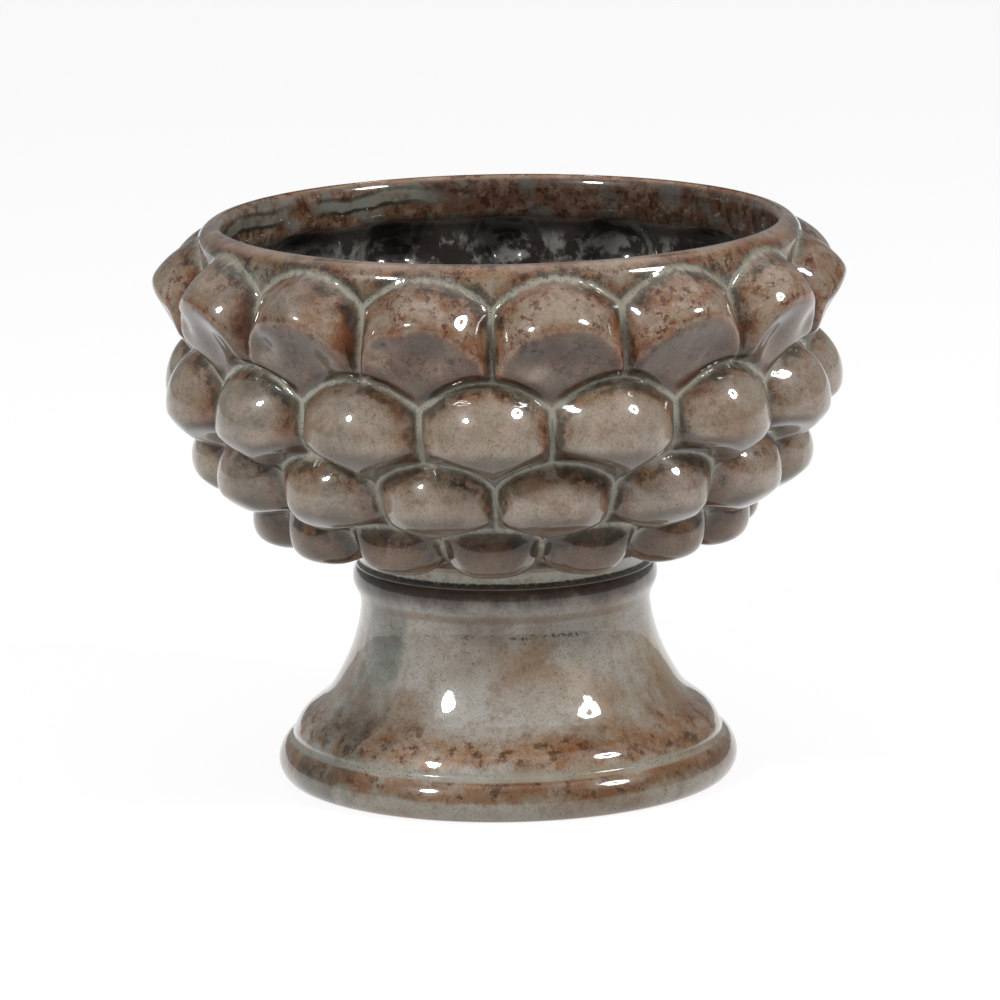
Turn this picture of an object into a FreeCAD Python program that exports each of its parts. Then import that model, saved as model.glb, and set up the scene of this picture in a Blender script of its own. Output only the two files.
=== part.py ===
"""A footed planter in glazed stoneware: a bowl moulded with rows of leaf-like scales, on a flared stand.

Millimetres, +Z up. The origin is the centre of the stand's foot ring, on the surface that it stands on.
The bowl and the stand are two slip castings, joined at the neck by a ring of slip. The top row's scales are
hollow from behind. One scale of each row is lofted across sections that are squared to the bowl's wall, and
is then turned round the axis to make its row.
"""

import FreeCAD
import Part

import math
import os

import Sketcher

# ---------------------------------------------------------------------------------------------------
# Driving dimensions. Each one is a cell of the sheet, under its own name.
# ---------------------------------------------------------------------------------------------------

DIMENSIONS = [
    # The bowl's wall
    ("equator_radius", 112.0, "outside of the wall, between the scales, where it is widest"),
    ("equator_height", 163.6, "height of that widest line"),
    ("belly_radius", 82.2, "radius of the arc that the belly follows below it"),
    ("bowl_wall", 9.0, "thickness of the bowl's wall"),
    ("rim_height", 206.1, "top of the lip"),
    ("rim_shoulder_radius", 110.3, "outside of the lip, where its round starts"),
    ("rim_shoulder_height", 199.6, "height of that start"),
    ("rim_crest_radius", 103.3, "crest of the lip"),
    ("rim_crest_round", 7.3, "radius of the lip's outer round"),
    ("rim_inner_round", 3.6, "radius of the lip's inner round"),
    ("mouth_radius", 100.4, "inside of the lip"),
    ("mouth_depth", 17.0, "depth of the upright band inside the lip"),
    ("collar_round", 330.0, "radius of the collar's slow curve above the widest line"),
    # The bowl's scales
    ("scale_count", 15, "scales in each row"),
    ("scale_root", 2.6, "how far a scale's edge lies inside the wall"),
    ("scale_gap", 1.0, "width of the wall that shows between two scales"),
    # The dents inside the bowl, one behind each scale of the top row
    ("dent_place", -17.0, "place of a dent's middle, in millimetres below the widest line"),
    ("dent_depth", 13.2, "depth of a dent into the wall"),
    ("dent_radius", 17.6, "radius of its round"),
    # The neck joint
    ("seat_radius", 53.4, "outside of the ring under the bowl"),
    ("seat_height", 81.9, "underside of that ring"),
    ("spigot_depth", 2.8, "how far the spigot reaches into the stand's neck"),
    ("spigot_wall", 6.5, "thickness of the spigot"),
    ("spigot_gap", 0.6, "gap between the spigot and the neck's bore, filled with slip"),
    ("slip_thickness", 0.8, "slip between the ring and the neck"),
    ("slip_recess", 0.7, "how far the slip stays inside the ring's edge"),
    # The stand
    ("foot_radius", 84.6, "widest part of the base moulding"),
    ("foot_radius_height", 6.0, "height of that widest part"),
    ("foot_round", 8.2, "radius of the round under it"),
    ("base_round", 11.4, "radius of the base moulding above it"),
    ("base_top_height", 15.2, "height of the groove above the base moulding"),
    ("groove_step", 0.9, "depth of the groove below the upper moulding"),
    ("upper_round", 26.0, "radius of the upper moulding"),
    ("ledge_radius", 66.4, "upper moulding's inner edge"),
    ("ledge_height", 30.4, "height of that edge"),
    ("ledge_step", 0.6, "drop from the flare to that edge"),
    ("flare_mid_radius", 57.2, "flare, half way down"),
    ("flare_mid_height", 46.0, "height of that point"),
    ("flare_upper_round", 55.0, "radius of the flare's upper half"),
    ("flare_lower_round", 72.0, "radius of the flare's lower half"),
    ("waist_radius", 53.2, "narrowest part of the stand"),
    ("waist_height", 62.0, "height of the waist"),
    ("waist_band", 3.5, "height of the upright band above the waist"),
    ("roll_radius", 56.0, "widest part of the neck roll"),
    ("roll_height", 72.8, "height of that part"),
    ("roll_lower_round", 12.0, "radius of the roll's underside"),
    ("roll_upper_round", 9.6, "radius of the roll's top"),
    ("neck_edge_radius", 52.2, "outer edge of the neck's flat top"),
    ("bore_radius", 46.0, "bore of the neck"),
    ("bore_depth", 21.0, "depth of the bore, down to the start of the inner flare"),
    ("foot_ring_width", 7.8, "width of the ring that the stand rests on"),
    ("foot_ring_depth", 9.0, "depth of the upright band inside that ring"),
    ("inner_flare_round", 72.0, "radius of the stand's inner flare"),
]

# Each row of scales. The places are millimetres along the wall's outside, from its widest line, + down.
# point: tip of the arch on the scale's middle; valley: where two arches meet; foot: lower end on the middle.
# crown: the scale's highest place as a share of its length; swell: its height there, square to the wall.
# turn: degrees from the front to the row's first seam; lean: 1 for a straight lower face, 0 for a round one.
SCALE_ROWS = [
    {"point": -38.0, "valley": -27.6, "foot": 8.0, "crown": 0.38, "swell": 16.4, "turn": -1.8, "lean": 1.0},
    {"point": -2.2, "valley": 8.0, "foot": 39.2, "crown": 0.48, "swell": 13.8, "turn": 8.9, "lean": 0.3},
    {"point": 28.5, "valley": 39.2, "foot": 66.0, "crown": 0.38, "swell": 12.8, "turn": -1.6, "lean": 0.6},
    {"point": 59.0, "valley": 67.2, "foot": 89.5, "crown": 0.4, "swell": 10.6, "turn": 9.0, "lean": 0.4},
]
ROW_SIZES = ("point", "valley", "foot", "crown", "swell", "turn", "lean")

# ---------------------------------------------------------------------------------------------------
# The document and its sheet
# ---------------------------------------------------------------------------------------------------

doc = FreeCAD.newDocument("footed_planter")
sheet = doc.addObject("Spreadsheet::Sheet", "sizes")


def fill_sheet():
    """Writes every size into the sheet, one row each: name, value, note."""
    rows = list(DIMENSIONS)
    for number, row in enumerate(SCALE_ROWS, start=1):
        rows += [(f"row_{number}_{name}", row[name], f"scale row {number}: {name}") for name in ROW_SIZES]
    for line, (name, value, note) in enumerate(rows, start=1):
        sheet.set(f"A{line}", name)
        sheet.set(f"B{line}", str(value))
        sheet.set(f"C{line}", note)
        sheet.setAlias(f"B{line}", name)
    doc.recompute()


def cell(name):
    """The value in the sheet's cell of that name."""
    return float(getattr(sheet, name))


class Size:
    """A length, and the formula over the sheet's cells that gives it."""

    def __init__(self, value, formula):
        self.value = value
        self.formula = formula

    def __add__(self, other):
        return Size(self.value + other.value, f"({self.formula} + {other.formula})")

    def __sub__(self, other):
        return Size(self.value - other.value, f"({self.formula} - {other.formula})")


def size(name):
    """The sheet's cell of that name, as a Size."""
    return Size(cell(name), f"<<sizes>>.{name}")


def zero():
    """Nothing, as a Size: a place on the axis or on the floor."""
    return Size(0.0, "0")


# ---------------------------------------------------------------------------------------------------
# Profiles that are turned about the axis
# ---------------------------------------------------------------------------------------------------


def arc_reach(radius, level):
    """How far an arc of that radius reaches sideways at a level above or below its centre."""
    return Size(math.sqrt(radius.value**2 - level.value**2), f"sqrt({radius.formula}^2 - {level.formula}^2)")


def outline_arc(start, end, radius, side):
    """An arc between two corners. side +1 bulges to the left of the way from start to end, -1 to its right.

    A sketch keeps its arcs anticlockwise, so one that bulges to the left is given from its far end.
    """
    first, last = (start, end) if side < 0 else (end, start)
    along = last - first
    half = along.Length / 2
    left = FreeCAD.Vector(-along.y, along.x, 0).normalize()
    centre = (first + last) * 0.5 + left * math.sqrt(max(radius**2 - half**2, 0.0))
    circle = Part.Circle(centre, FreeCAD.Vector(0, 0, 1), radius)
    angles = [math.atan2(point.y - centre.y, point.x - centre.x) for point in (first, last)]
    return Part.ArcOfCircle(circle, angles[0], angles[1])


def turned_body(name, outline):
    """A body turned about Z from a closed outline in the XZ plane.

    outline is a list of (radius, height, bend). bend is None where a straight line leads on to the next
    corner, and (Size, side) where an arc of that radius does. Every corner and radius is bound to the sheet.
    """
    body = doc.addObject("PartDesign::Body", name)
    sketch = body.newObject("Sketcher::SketchObject", name + "_outline")
    plane = next(f for f in body.Origin.OriginFeatures if f.Role == "XZ_Plane")
    sketch.AttachmentSupport = (plane, "")
    sketch.MapMode = "FlatFace"
    corners = [FreeCAD.Vector(radius.value, height.value, 0) for radius, height, _ in outline]
    start_point, end_point = 1, 2
    joints = []
    for index, (_, _, bend) in enumerate(outline):
        here, there = corners[index], corners[(index + 1) % len(corners)]
        if bend is None:
            edge = sketch.addGeometry(Part.LineSegment(here, there), False)
            joints.append((edge, start_point, end_point))
            continue
        radius, side = bend
        edge = sketch.addGeometry(outline_arc(here, there, radius.value, side), False)
        joints.append((edge, start_point, end_point) if side < 0 else (edge, end_point, start_point))
        number = sketch.addConstraint(Sketcher.Constraint("Radius", edge, radius.value))
        sketch.setExpression(f"Constraints[{number}]", radius.formula)
    for index, (radius, height, _) in enumerate(outline):
        edge, near, _ = joints[index]
        last_edge, _, last_far = joints[index - 1]
        sketch.addConstraint(Sketcher.Constraint("Coincident", last_edge, last_far, edge, near))
        for kind, length in (("DistanceX", radius), ("DistanceY", height)):
            number = sketch.addConstraint(
                Sketcher.Constraint(kind, -1, start_point, edge, near, length.value)
            )
            sketch.setExpression(f"Constraints[{number}]", length.formula)
    turn = body.newObject("PartDesign::Revolution", name + "_turn")
    turn.Profile = sketch
    turn.ReferenceAxis = (sketch, ["V_Axis"])
    turn.Angle = 360.0
    body.Tip = turn
    body.Label = name
    doc.recompute()
    return body


# ---------------------------------------------------------------------------------------------------
# The bowl's wall
# ---------------------------------------------------------------------------------------------------


def wall_place(distance, inset):
    """Radius and height on the wall, and the way out of it, at that distance below its widest line.

    inset is how far inside the outer face the place lies. Above the widest line the wall stands upright
    but for the collar's slow curve, and below it follows the belly's arc.
    """
    equator_radius, equator_height = cell("equator_radius"), cell("equator_height")
    if distance <= 0:
        drop = distance**2 / (2 * cell("collar_round"))
        return equator_radius - drop - inset, equator_height - distance, (1.0, 0.0)
    belly = cell("belly_radius")
    angle = distance / belly
    out = (math.cos(angle), -math.sin(angle))
    return (
        equator_radius - belly + (belly - inset) * out[0],
        equator_height + (belly - inset) * out[1],
        out,
    )


def make_bowl_wall():
    """The plain wall of the bowl, with its lip, its seat ring and the spigot below."""
    wall = size("bowl_wall")
    equator_radius, equator_height = size("equator_radius"), size("equator_height")
    belly = size("belly_radius")
    inner_belly = belly - wall
    floor_radius = equator_radius - belly
    underside = equator_height - belly
    seat_radius, seat_height = size("seat_radius"), size("seat_height")
    spigot_radius = size("bore_radius") - size("spigot_gap")
    spigot_foot = seat_height - size("slip_thickness") - size("spigot_depth")
    seat_reach = seat_radius - floor_radius
    seat_top = equator_height - arc_reach(belly, seat_reach)
    mouth_foot = size("rim_height") - size("mouth_depth")
    mouth_top = size("rim_height") - size("rim_inner_round")
    outline = [
        (zero(), underside, None),
        (spigot_radius - size("spigot_wall"), underside, None),
        (spigot_radius - size("spigot_wall"), spigot_foot, None),
        (spigot_radius, spigot_foot, None),
        (spigot_radius, seat_height, None),
        (seat_radius, seat_height, None),
        (seat_radius, seat_top, (belly, -1)),
        (equator_radius, equator_height, (size("collar_round"), -1)),
        (size("rim_shoulder_radius"), size("rim_shoulder_height"), (size("rim_crest_round"), -1)),
        (size("rim_crest_radius"), size("rim_height"), (size("rim_inner_round"), -1)),
        (size("mouth_radius"), mouth_top, None),
        (size("mouth_radius"), mouth_foot, None),
        (equator_radius - wall, equator_height, (inner_belly, 1)),
        (floor_radius, underside + wall, None),
        (zero(), underside + wall, None),
    ]
    return turned_body("bowl_wall", outline)


# ---------------------------------------------------------------------------------------------------
# The bowl's scales, and the dents behind the top row
# ---------------------------------------------------------------------------------------------------

# A section's curve, from one edge over the crown to the other: share of its half width, share of its height.
SECTION_SHAPE = [(-1.0, 0.0), (-0.74, 0.74), (0.0, 1.0), (0.74, 0.74), (1.0, 0.0)]
# Where a scale is cut into sections, as shares of its length, from the arch's tip to its foot.
SECTION_SHARES = [0.03, 0.16, 0.3, 0.45, 0.6, 0.75, 0.93]


def swell_share(share, crown, lean):
    """Height of the scale's middle line at a share of its length, as a share of its full swell."""
    if share <= crown:
        return (1 - (1 - share / crown) ** 2) ** 0.7
    rest = (share - crown) / (1 - crown)
    straight = max(1 - (rest / 0.93) ** 1.15, 0.0)
    rounded = math.cos(rest * math.pi / 2) ** 0.9
    return lean * straight + (1 - lean) * rounded


def width_share(row, distance):
    """Width of the scale at a distance along the wall, as a share of the row's pitch.

    Its top is an arch from valley to valley. Its foot tapers between the arches of the row below, which
    reach up by the same height as its own.
    """
    rise = row["valley"] - row["point"]
    if distance < row["valley"]:
        return math.sqrt(max(1 - ((row["valley"] - distance) / rise) ** 1.35, 0.0))
    taper = rise if row["below"] is None else row["below"]
    if distance > row["foot"] - taper:
        lower = (distance - (row["foot"] - taper)) / taper
        return 1 - math.sqrt(max(1 - (1 - lower) ** 1.35, 0.0)) if lower < 1 else 0.0
    return 1.0


def scale_section(distance, half_angle, height, depth):
    """One closed section of a scale. depth is how far its edges lie under the wall's outside."""
    radius, level, out = wall_place(distance, 0)
    edge_radius = radius - depth * out[0]
    edge_level = level - depth * out[1]
    half_width = edge_radius * math.sin(half_angle)
    middle = FreeCAD.Vector(0, -edge_radius * math.cos(half_angle), edge_level)
    crown = FreeCAD.Vector(0, -(radius + height * out[0]), level + height * out[1])
    points = [
        middle + FreeCAD.Vector(across * half_width, 0, 0) + (crown - middle) * up
        for across, up in SECTION_SHAPE
    ]
    curve = Part.BSplineCurve()
    curve.interpolate(points)
    return Part.Wire([curve.toShape(), Part.LineSegment(points[-1], points[0]).toShape()])


def ring_of(one, turn):
    """A solid copied round the axis, once for each scale of a row."""
    count = int(cell("scale_count"))
    ring = []
    for number in range(count):
        copy = one.copy()
        angle = turn + 360.0 / count * (number + 0.5)
        copy.rotate(FreeCAD.Vector(0, 0, 0), FreeCAD.Vector(0, 0, 1), angle)
        ring.append(copy)
    return Part.makeCompound(ring)


def row_sizes(number):
    """The sizes of one row of scales, read from the sheet, with the height of the arches below it."""
    row = {name: cell(f"row_{number}_{name}") for name in ROW_SIZES}
    row["below"] = None
    if number < len(SCALE_ROWS):
        row["below"] = cell(f"row_{number + 1}_valley") - cell(f"row_{number + 1}_point")
    return row


def make_scale_row(number):
    """One row of scales, as they stand out of the wall."""
    row = row_sizes(number)
    pitch = 2 * math.pi / cell("scale_count")
    length = row["foot"] - row["point"]
    sections = []
    for share in SECTION_SHARES:
        distance = row["point"] + share * length
        radius = wall_place(distance, 0)[0]
        half_angle = (pitch / 2 - cell("scale_gap") / 2 / radius) * max(width_share(row, distance), 0.05)
        height = row["swell"] * swell_share(share, row["crown"], row["lean"])
        sections.append(scale_section(distance, half_angle, height, cell("scale_root")))
    one = Part.makeLoft(sections, True, False)
    if one.Volume < 0:
        one.reverse()
    feature = doc.addObject("Part::Feature", f"scales_{number}")
    feature.Shape = ring_of(one, row["turn"])
    return feature


def make_dents():
    """The round dents inside the bowl, behind the top row's scales, where slip followed the deep relief."""
    reach = cell("dent_radius") - cell("dent_depth")
    radius, level, _ = wall_place(cell("dent_place"), cell("bowl_wall") + reach)
    one = Part.makeSphere(cell("dent_radius"), FreeCAD.Vector(0, -radius, level))
    feature = doc.addObject("Part::Feature", "dents")
    feature.Shape = ring_of(one, row_sizes(1)["turn"])
    return feature


def make_bowl():
    """The bowl as it is cast: the wall with its scales, less the dents behind the top row."""
    numbers = range(1, len(SCALE_ROWS) + 1)
    raised = doc.addObject("Part::MultiFuse", "bowl_raised")
    raised.Shapes = [make_bowl_wall()] + [make_scale_row(number) for number in numbers]
    bowl = doc.addObject("Part::Cut", "bowl")
    bowl.Base = raised
    bowl.Tool = make_dents()
    bowl.Label = "bowl"
    doc.recompute()
    return bowl


# ---------------------------------------------------------------------------------------------------
# The stand and the slip joint
# ---------------------------------------------------------------------------------------------------


def make_stand():
    """The flared stand: hollow, open below, with a bored neck that takes the bowl's spigot."""
    foot_radius, foot_height = size("foot_radius"), size("foot_radius_height")
    foot_round, base_round = size("foot_round"), size("base_round")
    neck_top = size("seat_height") - size("slip_thickness")
    groove_height, groove_step = size("base_top_height"), size("groove_step")
    contact_radius = foot_radius - foot_round + arc_reach(foot_round, foot_height)
    groove_radius = foot_radius - base_round + arc_reach(base_round, groove_height - foot_height)
    ledge_radius, ledge_height = size("ledge_radius"), size("ledge_height")
    ledge_step = size("ledge_step")
    waist_radius, waist_height = size("waist_radius"), size("waist_height")
    ring_inside = contact_radius - size("foot_ring_width")
    bore = size("bore_radius")
    outline = [
        (ring_inside, zero(), None),
        (contact_radius, zero(), (foot_round, -1)),
        (foot_radius, foot_height, (base_round, -1)),
        (groove_radius, groove_height, None),
        (groove_radius - groove_step, groove_height + groove_step, (size("upper_round"), -1)),
        (ledge_radius, ledge_height, None),
        (ledge_radius - ledge_step, ledge_height + ledge_step, (size("flare_lower_round"), 1)),
        (size("flare_mid_radius"), size("flare_mid_height"), (size("flare_upper_round"), 1)),
        (waist_radius, waist_height, None),
        (waist_radius, waist_height + size("waist_band"), (size("roll_lower_round"), -1)),
        (size("roll_radius"), size("roll_height"), (size("roll_upper_round"), -1)),
        (size("neck_edge_radius"), neck_top, None),
        (bore, neck_top, None),
        (bore, neck_top - size("bore_depth"), (size("inner_flare_round"), -1)),
        (ring_inside, size("foot_ring_depth"), None),
    ]
    return turned_body("stand", outline)


def make_slip_joint():
    """The slip that joins the castings: a flat ring under the bowl's seat, and a skirt round its spigot."""
    seat_height, thickness = size("seat_height"), size("slip_thickness")
    neck_top = seat_height - thickness
    bore = size("bore_radius")
    spigot_radius = bore - size("spigot_gap")
    outer = size("seat_radius") - size("slip_recess") - size("slip_thickness")
    skirt_foot = neck_top - size("spigot_depth")
    outline = [
        (spigot_radius, skirt_foot, None),
        (bore, skirt_foot, None),
        (bore, neck_top, None),
        (outer, neck_top, None),
        (outer, seat_height, None),
        (spigot_radius, seat_height, None),
    ]
    return turned_body("slip_joint", outline)


# ---------------------------------------------------------------------------------------------------
# Build, check and write
# ---------------------------------------------------------------------------------------------------

fill_sheet()
parts = [make_bowl(), make_stand(), make_slip_joint()]
doc.recompute()

for item in doc.Objects:
    if "Invalid" in item.State or "Error" in item.State:
        raise RuntimeError(f"{item.Name} failed: {item.State}")

os.makedirs("parts", exist_ok=True)
for item in parts:
    shape = item.Shape
    if shape.isNull() or not shape.isValid() or not shape.Solids:
        raise RuntimeError(f"{item.Label} has no valid solid")
    counts = f"solids {len(shape.Solids)}, faces {len(shape.Faces)}"
    print(f"{item.Label}: {counts}, {shape.Volume / 1000:.1f} cm3")
    shape.exportStep(f"parts/{item.Label}.step")
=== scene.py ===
import math

import bmesh
import bpy
from mathutils import Matrix, Vector, noise


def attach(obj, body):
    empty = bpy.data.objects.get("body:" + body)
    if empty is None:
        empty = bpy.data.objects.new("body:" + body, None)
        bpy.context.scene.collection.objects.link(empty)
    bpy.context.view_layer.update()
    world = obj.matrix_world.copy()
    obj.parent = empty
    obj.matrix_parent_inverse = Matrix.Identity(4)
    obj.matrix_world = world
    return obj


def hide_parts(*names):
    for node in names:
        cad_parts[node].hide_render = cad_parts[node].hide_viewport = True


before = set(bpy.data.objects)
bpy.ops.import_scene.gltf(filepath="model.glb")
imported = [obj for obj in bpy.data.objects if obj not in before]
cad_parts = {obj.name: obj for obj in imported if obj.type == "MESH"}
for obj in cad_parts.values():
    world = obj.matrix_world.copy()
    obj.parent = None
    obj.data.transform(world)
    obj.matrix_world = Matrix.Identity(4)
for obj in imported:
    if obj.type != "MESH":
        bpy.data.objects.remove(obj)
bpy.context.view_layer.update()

# ---------------------------------------------------------------------------------------------------
# The bowl: one slip casting in stoneware, with four rows of leaf-like scales in relief. The scales of
# the top row were pressed flat by hand below their brows before firing, so no two are quite alike.
# ---------------------------------------------------------------------------------------------------

# The wall without its scales. Lengths along it run from its widest line, up (-) or down (+).
EQUATOR_RADIUS = 0.1120
EQUATOR_HEIGHT = 0.1636
BELLY_RADIUS = 0.0822
COLLAR_ROUND = 0.330
WALL = 0.0090
LIP_START = -0.0360
LIP_ROUND = 0.00729
LIP_TURN = 1.48
SEAT_END = 0.1045
MOUTH_RADIUS = 0.1004
MOUTH_FOOT = -0.0255
FLOOR_TOP = 0.0904

# Fifteen scales to a row. The rows' seams don't fall quite midway between the seams of the row above.
SCALES = 15
PITCH = math.tau / SCALES
ODD_SEAM = math.radians(-1.7)
EVEN_SEAM = math.radians(8.95)
SEAM_SHIFT = EVEN_SEAM - ODD_SEAM
COLUMNS_BEFORE, COLUMNS_AFTER = 14, 18
COLUMNS = SCALES * (COLUMNS_BEFORE + COLUMNS_AFTER)


class ScaleRow:
    """One row of scales: its places along the wall, and how far it stands out."""

    def __init__(self, seam, tip, valley, foot, swell, crown, arch, lean, turns):
        self.seam = seam        # azimuth of the row's first seam
        self.tip = tip          # top of each scale's arch
        self.valley = valley    # where two arches meet
        self.foot = foot        # lower end of a scale, on its middle
        self.swell = swell      # height over the wall at the crown
        self.crown = crown      # distance of the crown below the arch
        self.arch = arch        # 1 for an arch like a parabola, less for a flatter top
        self.lean = lean        # 1 for a straight lower face, 0 for a round one
        self.turns = turns      # how many mesh rows cross it


ROWS = [
    ScaleRow(ODD_SEAM, -0.0380, -0.0276, 0.0080, 0.0174, 0.0225, 0.92, 1.0, 32),
    ScaleRow(EVEN_SEAM, -0.0022, 0.0080, 0.0392, 0.0142, 0.0205, 1.00, 0.7, 27),
    ScaleRow(ODD_SEAM, 0.0285, 0.0392, 0.0660, 0.0128, 0.0145, 0.66, 0.6, 22),
    ScaleRow(EVEN_SEAM, 0.0590, 0.0672, 0.0890, 0.0108, 0.0110, 0.50, 0.4, 18),
]
LAST_SEAM_END = 0.0815

# Glaze fills the bottom of each crease. A place with no crease or foot near it is kept as FAR from one.
CREASE_FILL = 0.0008
FAR = 0.02

# An arch's distance is measured to this many steps on it. Above its valley a seam counts as nearer.
ARCH_STEPS = 16
OVER_VALLEY = 0.6

# How a scale's back rises from its arch and its seams, and how its lower end tucks in and runs out.
ARCH_POWER = 0.82
SEAM_SHARE, SEAM_POWER = 0.92, 0.46
TUCK, TUCK_SHARE = 0.0036, 0.16
SKIRT, SKIRT_SHARE = 0.0105, 0.84
STRAIGHT_END, STRAIGHT_POWER = 0.97, 1.25
ROUND_POWER = 0.9
FOOT_THINNING, FOOT_LEFT = 0.30, 0.06

# The flat face of the top row's scales, and how softly it meets the brow.
FACE_START, FACE_HEIGHT, FACE_SLOPE = -0.0220, 0.0178, 0.610
FACE_HOLLOW = 0.0011
BROW_ROUND = 0.0012
BROW_CLEAR, BROW_FADE = 0.003, 0.004
PRESS_STRENGTH, DEEPEST_PRESS = 1.5, 2.8

# The potter's thumb presses under the brows of the top row, from the scale right of the middle seam on,
# anticlockwise from above: place across the scale (-1 to 1), then in millimetres along the wall, width
# and depth. No two scales have quite the same pair.
PRESSES = [
    ((-0.40, -11, 6.0, 2.6), (0.38, -13, 9.0, 1.6)),
    ((0.30, -10, 12.0, 1.8), (-0.55, -6, 8.0, 1.2)),
    ((-0.30, -9, 9.0, 2.4), (0.55, -12, 6.0, 1.2)),
    ((0.10, -11, 9.0, 2.2), (-0.62, -13, 5.0, 1.4)),
    ((-0.45, -12, 7.0, 2.2), (0.40, -13, 7.0, 2.0)),
    ((-0.50, -13, 6.0, 2.4), (0.30, -11, 8.0, 1.4)),
    ((-0.25, -11, 8.0, 1.8), (0.60, -14, 5.0, 1.9)),
    ((-0.45, -13, 7.0, 1.4), (0.25, -12, 8.0, 2.5)),
    ((-0.35, -12, 7.0, 2.3), (0.50, -13, 6.0, 1.5)),
    ((-0.10, -10, 9.0, 2.2), (0.65, -14, 5.0, 1.6)),
    ((-0.55, -14, 5.0, 1.8), (0.28, -12, 8.0, 1.9)),
    ((-0.32, -12, 8.0, 2.4), (0.58, -13, 5.0, 1.2)),
    ((0.20, -8, 11.0, 2.2), (-0.60, -14, 5.0, 1.6)),
    ((-0.55, -12, 6.0, 2.4), (0.25, -8, 11.0, 2.2)),
    ((-0.60, -15, 5.0, 2.8), (0.14, -13, 7.5, 2.4)),
]


def wall_at(along):
    """Radius, height and outward direction (radial, up) of the bare wall at a length along it."""
    if along < LIP_START:
        start_radius, start_height, _, _ = wall_at(LIP_START)
        lean = math.asin(-LIP_START / COLLAR_ROUND)
        centre_radius = start_radius - LIP_ROUND * math.cos(lean)
        centre_height = start_height - LIP_ROUND * math.sin(lean)
        turn = lean + (LIP_START - along) / LIP_ROUND
        out, up = math.cos(turn), math.sin(turn)
        return centre_radius + LIP_ROUND * out, centre_height + LIP_ROUND * up, out, up
    if along < 0:
        lean = math.asin(-along / COLLAR_ROUND)
        drop = COLLAR_ROUND * (1 - math.cos(lean))
        return EQUATOR_RADIUS - drop, EQUATOR_HEIGHT - along, math.cos(lean), math.sin(lean)
    turn = along / BELLY_RADIUS
    out, up = math.cos(turn), -math.sin(turn)
    return (
        EQUATOR_RADIUS - BELLY_RADIUS * (1 - out),
        EQUATOR_HEIGHT + BELLY_RADIUS * up,
        out,
        up,
    )


def across_scale(row, azimuth):
    """Which scale of the row an azimuth falls on, and where: 0 on its middle, -1 and 1 on its seams."""
    turn = (azimuth - row.seam) / PITCH
    return math.floor(turn) % SCALES, 2 * (turn - math.floor(turn)) - 1


def arch_line(index, azimuth):
    """Length along the wall of the arches that top a row, or of the last row's feet."""
    if index == len(ROWS):
        _, across = across_scale(ROWS[-1], azimuth)
        return LAST_SEAM_END + (ROWS[-1].foot - LAST_SEAM_END) * math.sqrt(max(1 - across**2, 0))
    row = ROWS[index]
    _, across = across_scale(row, azimuth)
    return row.valley - (row.valley - row.tip) * max(1 - across**2, 0) ** row.arch


def edge_distances(index, azimuth, along):
    """Distances from a place on a scale to the arch above it, and to the seam beside it."""
    row = ROWS[index]
    half_width = PITCH / 2 * wall_at((row.tip + row.foot) / 2)[0]
    _, across = across_scale(row, azimuth)
    side = abs(across) * half_width
    to_arch = 1.0
    for step in range(ARCH_STEPS + 1):
        share = math.sin(step / ARCH_STEPS * math.pi / 2)
        arch_side = share * half_width
        arch_along = row.valley - (row.valley - row.tip) * (1 - share**2) ** row.arch
        to_arch = min(to_arch, math.hypot(arch_side - side, along - arch_along))
    to_seam = math.hypot(half_width - side, max(row.valley - along, 0) * OVER_VALLEY)
    return to_arch, to_seam


def round_rise(distance, width, power=0.5):
    """Rises from 0 at an edge to 1 at that width. A power of 0.5 gives a quarter round, 1 a parabola."""
    share = min(max(distance - CREASE_FILL, 0) / width, 1)
    return (1 - (1 - share) ** 2) ** power


def scale_shape(index, azimuth, along):
    """Height of a scale over the wall at a place on it, its nearest edge's distance, brow and press."""
    row = ROWS[index]
    number, across = across_scale(row, azimuth)
    to_arch, to_seam = edge_distances(index, azimuth, along)
    half_width = PITCH / 2 * wall_at((row.tip + row.foot) / 2)[0]
    dome = row.swell * round_rise(to_arch, row.crown, ARCH_POWER)
    dome *= round_rise(to_seam, half_width * SEAM_SHARE, SEAM_POWER)
    nearest = min(to_arch, to_seam)
    below = arch_line(index + 1, azimuth) - along
    tuck = round_rise(below, TUCK)
    if index > 0:
        rest = (along - row.tip - row.crown) / (row.foot - row.tip - row.crown)
        rest = min(max(rest, 0), 1)
        straight = max(1 - (rest / STRAIGHT_END) ** STRAIGHT_POWER, 0)
        rounded = math.cos(rest * math.pi / 2) ** ROUND_POWER
        fall = row.lean * straight + (1 - row.lean) * rounded
        fall = fall * (1 - FOOT_THINNING * rest**3) + FOOT_LEFT
        skirt = min(max(below, 0) / SKIRT, 1)
        tuck = TUCK_SHARE * tuck + SKIRT_SHARE * skirt**1.5 * (2.5 - 1.5 * skirt)
        return dome * fall * tuck, nearest, 0.0, 0.0
    face = FACE_HEIGHT - FACE_SLOPE * (along - FACE_START) - FACE_HOLLOW * max(1 - across**2, 0)
    pressed = 0.0
    for centre, level, width, depth in PRESSES[number]:
        away = math.hypot((across - centre) * half_width, along - level / 1000) / (width / 1000)
        face -= PRESS_STRENGTH * depth / 1000 * math.exp(-(away**2))
        pressed = max(pressed, depth / DEEPEST_PRESS * math.exp(-(away**2)))
    # The lower of dome and face, with the change rounded off. Past 40 roundings it is simply the face.
    gap = (dome - face) / BROW_ROUND
    height = dome - BROW_ROUND * math.log1p(math.exp(gap)) if gap < 40 else face
    brow = math.exp(-((gap / 2.0) ** 2)) * min(max(nearest - BROW_CLEAR, 0) / BROW_FADE, 1)
    pressed *= min(max(gap + 1, 0) / 2.5, 1)
    return max(height, 0) * tuck, nearest, brow, pressed


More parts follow.
